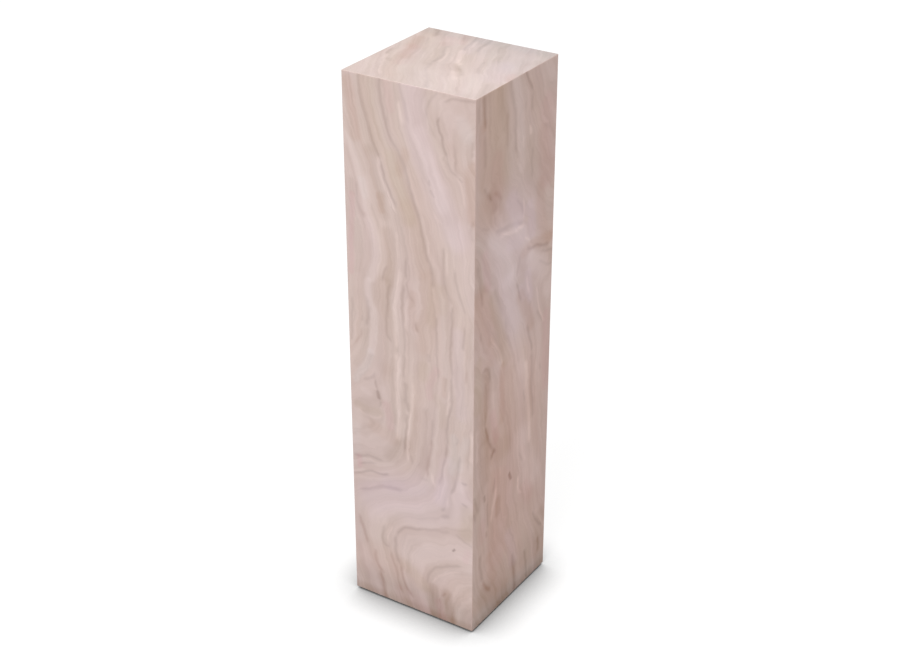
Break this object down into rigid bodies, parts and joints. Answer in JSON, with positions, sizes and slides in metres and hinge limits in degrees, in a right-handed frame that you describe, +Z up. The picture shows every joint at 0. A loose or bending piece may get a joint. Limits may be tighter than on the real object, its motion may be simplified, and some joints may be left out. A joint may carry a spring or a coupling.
{
  "type": "pedestal column stand",
  "caption": "Tall square pedestal column of mitred, banded rose-beige stone slabs on a timber frame, raised a few millimetres on screw-adjusted levelling glides.",
  "frame": {"origin": "on the floor, under the middle of the column", "axes": "+Z up the column; -Y is the front, the wide lit face on the left in the picture; +X is the face on its right"},
  "size_m": [0.25, 0.25, 1],
  "materials": {
    "stone": "honed, matte",
    "batten_wood": "sawn, bare",
    "plywood": "sanded, bare",
    "adhesive": "cured bead",
    "screw_steel": "yellow zinc plated",
    "zinc_steel": "zinc plated",
    "pad_plastic": "moulded, fine texture"
  },
  "bodies": {
    "column": {"front_panel": "stone", "right_panel": "stone", "back_panel": "stone", "left_panel": "stone", "top_panel": "stone", "corner_batten_front_left": "batten_wood", "corner_batten_front_right": "batten_wood", "corner_batten_back_right": "batten_wood", "corner_batten_back_left": "batten_wood", "adhesive_beads": "adhesive", "base_board": "plywood", "mid_brace": "plywood", "top_board": "plywood", "base_board_screws": "screw_steel", "tee_nuts": "zinc_steel"},
    "pad_front_left": {"glide_pad_front_left": "pad_plastic"},
    "stem_front_left": {"glide_stem_front_left": "zinc_steel"},
    "pad_front_right": {"glide_pad_front_right": "pad_plastic"},
    "stem_front_right": {"glide_stem_front_right": "zinc_steel"},
    "pad_back_right": {"glide_pad_back_right": "pad_plastic"},
    "stem_back_right": {"glide_stem_back_right": "zinc_steel"},
    "pad_back_left": {"glide_pad_back_left": "pad_plastic"},
    "stem_back_left": {"glide_stem_back_left": "zinc_steel"}
  },
  "joints": [
    {"name": "glide_travel_front_left", "type": "slide", "parent": "column", "child": "pad_front_left", "axis": [0, 0, -1], "range_m": [0, 0.008]},
    {"name": "stem_turn_front_left", "type": "hinge", "parent": "pad_front_left", "child": "stem_front_left", "pos_m": [-0.07, -0.07, 0.0103], "axis": [0, 0, -1], "range_deg": [0, 2304]},
    {"name": "glide_travel_front_right", "type": "slide", "parent": "column", "child": "pad_front_right", "axis": [0, 0, -1], "range_m": [0, 0.008]},
    {"name": "stem_turn_front_right", "type": "hinge", "parent": "pad_front_right", "child": "stem_front_right", "pos_m": [0.07, -0.07, 0.0103], "axis": [0, 0, -1], "range_deg": [0, 2304]},
    {"name": "glide_travel_back_right", "type": "slide", "parent": "column", "child": "pad_back_right", "axis": [0, 0, -1], "range_m": [0, 0.008]},
    {"name": "stem_turn_back_right", "type": "hinge", "parent": "pad_back_right", "child": "stem_back_right", "pos_m": [0.07, 0.07, 0.0103], "axis": [0, 0, -1], "range_deg": [0, 2304]},
    {"name": "glide_travel_back_left", "type": "slide", "parent": "column", "child": "pad_back_left", "axis": [0, 0, -1], "range_m": [0, 0.008]},
    {"name": "stem_turn_back_left", "type": "hinge", "parent": "pad_back_left", "child": "stem_back_left", "pos_m": [-0.07, 0.07, 0.0103], "axis": [0, 0, -1], "range_deg": [0, 2304]}
  ],
  "couplings": [
    {"joint": "glide_travel_front_left", "follows": "stem_turn_front_left", "m_per_rad": 0.00019894},
    {"joint": "glide_travel_front_right", "follows": "stem_turn_front_right", "m_per_rad": 0.00019894},
    {"joint": "glide_travel_back_right", "follows": "stem_turn_back_right", "m_per_rad": 0.00019894},
    {"joint": "glide_travel_back_left", "follows": "stem_turn_back_left", "m_per_rad": 0.00019894}
  ]
}
